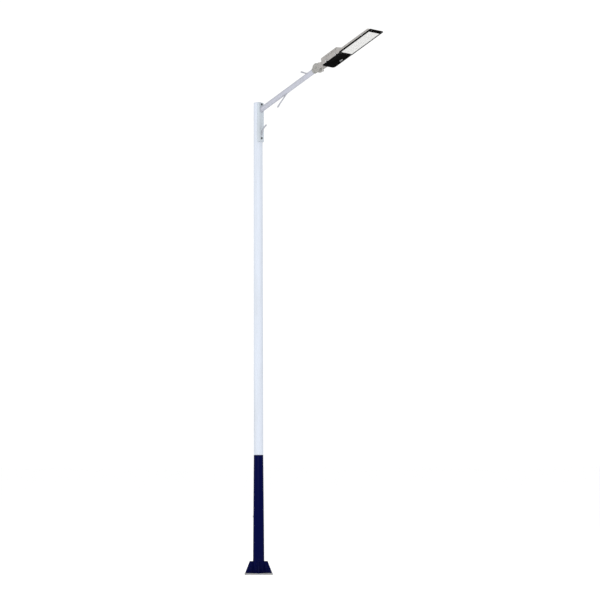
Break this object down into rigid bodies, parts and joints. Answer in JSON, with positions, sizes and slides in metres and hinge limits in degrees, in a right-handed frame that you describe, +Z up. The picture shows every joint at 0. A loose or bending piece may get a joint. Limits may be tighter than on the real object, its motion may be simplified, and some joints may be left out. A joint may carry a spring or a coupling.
{
  "type": "street lamp post",
  "caption": "Flanged two-colour street lamp post with a side-bolted arm, ornamental horns, a tilting LED lantern and a service door.",
  "frame": {"origin": "on the pole axis at the underside of the base flange, where the post stands on its foundation", "axes": "+Z up along the pole, +X from the pole towards the lantern, +Y completes a right-handed frame"},
  "size_m": [2.2566, 0.4834, 6.6756],
  "materials": {
    "navy_paint": "satin navy powder coat over steel",
    "white_paint": "satin cool white powder coat over steel",
    "galvanised": "dull hot-dip galvanised steel",
    "stainless": "brushed stainless steel",
    "bolt_steel": "dark weathered zinc-plated steel",
    "cast_grey": "warm grey textured coat on die-cast aluminium",
    "black_paint": "semi-gloss black coat on sheet",
    "black_plastic": "matt moulded black",
    "lens": "clear moulded lens sheet lit white from behind",
    "led_board": "white solder mask on a metal-core board",
    "driver_case": "potted power supply in a thin metal case",
    "rubber": "matt black elastomer",
    "grey_plastic": "matt moulded grey",
    "brass": "plain turned brass"
  },
  "bodies": {
    "post": {"base_flange": "galvanised", "cable_grommet": "rubber", "gusset_45": "navy_paint", "gusset_135": "navy_paint", "gusset_225": "navy_paint", "gusset_315": "navy_paint", "lower_shaft": "navy_paint", "door_frame": "galvanised", "door_hinge_pin_lower": "stainless", "door_hinge_pin_upper": "stainless", "equipment_rail": "galvanised", "circuit_breaker": "grey_plastic", "service_terminals": "grey_plastic", "earth_stud": "brass", "supply_cable": "rubber", "upper_shaft": "white_paint", "shaft_sleeve": "galvanised", "pole_cap": "white_paint", "arm_bracket": "white_paint", "bracket_bolt_lower": "bolt_steel", "bracket_bolt_upper": "bolt_steel", "bracket_nut_lower": "bolt_steel", "bracket_nut_upper": "bolt_steel", "arm_tube": "white_paint", "bracket_spur": "white_paint", "arm_spur_lower": "white_paint", "arm_spur_upper": "white_paint", "knuckle_socket": "cast_grey", "socket_screw_near": "stainless", "socket_screw_far": "stainless", "knuckle_bolt": "cast_grey", "knuckle_nut": "bolt_steel"},
    "service_door": {"service_door": "navy_paint"},
    "door_lock": {"lock_barrel": "stainless"},
    "breaker_lever": {"breaker_lever": "black_plastic"},
    "lantern": {"head_housing": "cast_grey", "tilt_lock_screw": "stainless", "breather_valve": "grey_plastic", "lens_frame": "black_paint", "lens_gasket": "rubber", "lens_panel": "lens", "led_board": "led_board", "frame_screw_1": "stainless", "frame_screw_2": "stainless", "frame_screw_3": "stainless", "frame_screw_4": "stainless", "side_clip_near": "stainless", "side_clip_far": "stainless", "led_driver": "driver_case", "surge_protector": "grey_plastic", "head_terminals": "grey_plastic", "cable_gland": "rubber", "head_lead": "rubber", "cover_gasket": "rubber", "cover_hinge_rear": "stainless", "cover_hinge_front": "stainless", "cover_hinge_pin_rear": "stainless", "cover_hinge_pin_front": "stainless"},
    "driver_cover": {"driver_cover": "black_paint"},
    "cover_latch": {"cover_latch": "grey_plastic"}
  },
  "joints": [
    {"name": "service_door_hinge", "type": "hinge", "parent": "post", "child": "service_door", "pos_m": [-0.058, 0.05, 0.725], "axis": [0, 0, -1], "range_deg": [0, 110]},
    {"name": "door_lock_turn", "type": "hinge", "parent": "service_door", "child": "door_lock", "pos_m": [-0.05, -0.028, 0.725], "axis": [1, 0, 0], "range_deg": [0, 90]},
    {"name": "breaker_lever_pivot", "type": "hinge", "parent": "post", "child": "breaker_lever", "pos_m": [0.02, -0.016, 0.805], "axis": [0, 1, 0], "range_deg": [0, 50]},
    {"name": "lantern_tilt", "type": "hinge", "parent": "post", "child": "lantern", "pos_m": [1.04234, 0, 6.31713], "axis": [0, 1, 0], "range_deg": [-15, 30]},
    {"name": "driver_cover_hinge", "type": "hinge", "parent": "lantern", "child": "driver_cover", "pos_m": [1.3611, -0.121, 6.37748], "axis": [-0.9205, 0, -0.3907], "range_deg": [0, 85]},
    {"name": "cover_latch_turn", "type": "hinge", "parent": "driver_cover", "child": "cover_latch", "pos_m": [1.37859, 0.054, 6.3849], "axis": [0.3907, 0, -0.9205], "range_deg": [0, 90]}
  ]
}
